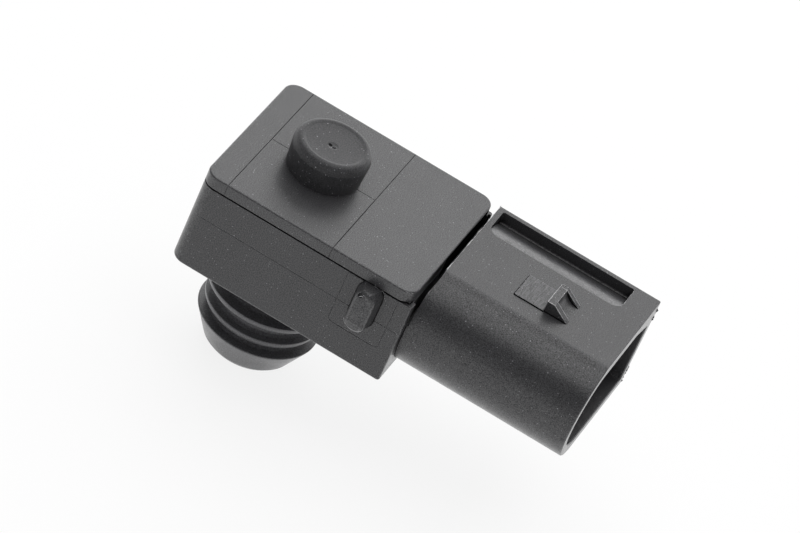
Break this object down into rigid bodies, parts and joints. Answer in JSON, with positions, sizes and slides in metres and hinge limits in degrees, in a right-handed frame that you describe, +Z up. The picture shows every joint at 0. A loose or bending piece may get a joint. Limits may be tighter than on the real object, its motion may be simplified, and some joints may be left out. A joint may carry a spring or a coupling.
{
  "type": "brake booster pressure sensor",
  "caption": "Moulded box sensor with a ribbed rubber plug below for the brake booster, a capped lid on top and a D-shaped connector socket with blades at one end.",
  "frame": {"origin": "on the axis of the rubber plug, at the underside of the housing", "axes": "+X towards the mouth of the connector, +Z up from the plug through the lid, the side lug on the -Y face"},
  "size_m": [0.0434, 0.022, 0.0271],
  "materials": {
    "moulded_plastic": "satin, fine grain",
    "lid_plastic": "satin, fine grain",
    "sealant": "satin",
    "cap_rubber": "matte",
    "grommet_rubber": "semi matte",
    "tinned_brass": "bright",
    "board_laminate": "satin",
    "cell_plastic": "matte",
    "lead_metal": "bright",
    "pedestal_glass": "polished",
    "silicon": "polished",
    "wire_metal": "bright",
    "soft_gel": "wet",
    "chip_plastic": "matte",
    "ceramic": "matte",
    "solder": "satin"
  },
  "bodies": {
    "root": {"housing": "moulded_plastic", "lid": "lid_plastic", "lid_adhesive": "sealant", "rubber_cap": "cap_rubber", "plug_grommet": "grommet_rubber", "supply_terminal": "tinned_brass", "signal_terminal": "tinned_brass", "ground_terminal": "tinned_brass", "circuit_board": "board_laminate", "board_adhesive": "sealant", "cell_cup": "cell_plastic", "cell_adhesive": "sealant", "cell_leads": "lead_metal", "glass_pedestal": "pedestal_glass", "pressure_chip": "silicon", "bond_wires": "wire_metal", "protective_gel": "soft_gel", "signal_chip": "chip_plastic", "supply_capacitor": "ceramic", "signal_capacitor": "ceramic", "filter_capacitor": "ceramic", "terminal_solder": "solder", "lead_solder": "solder"}
  },
  "joints": []
}
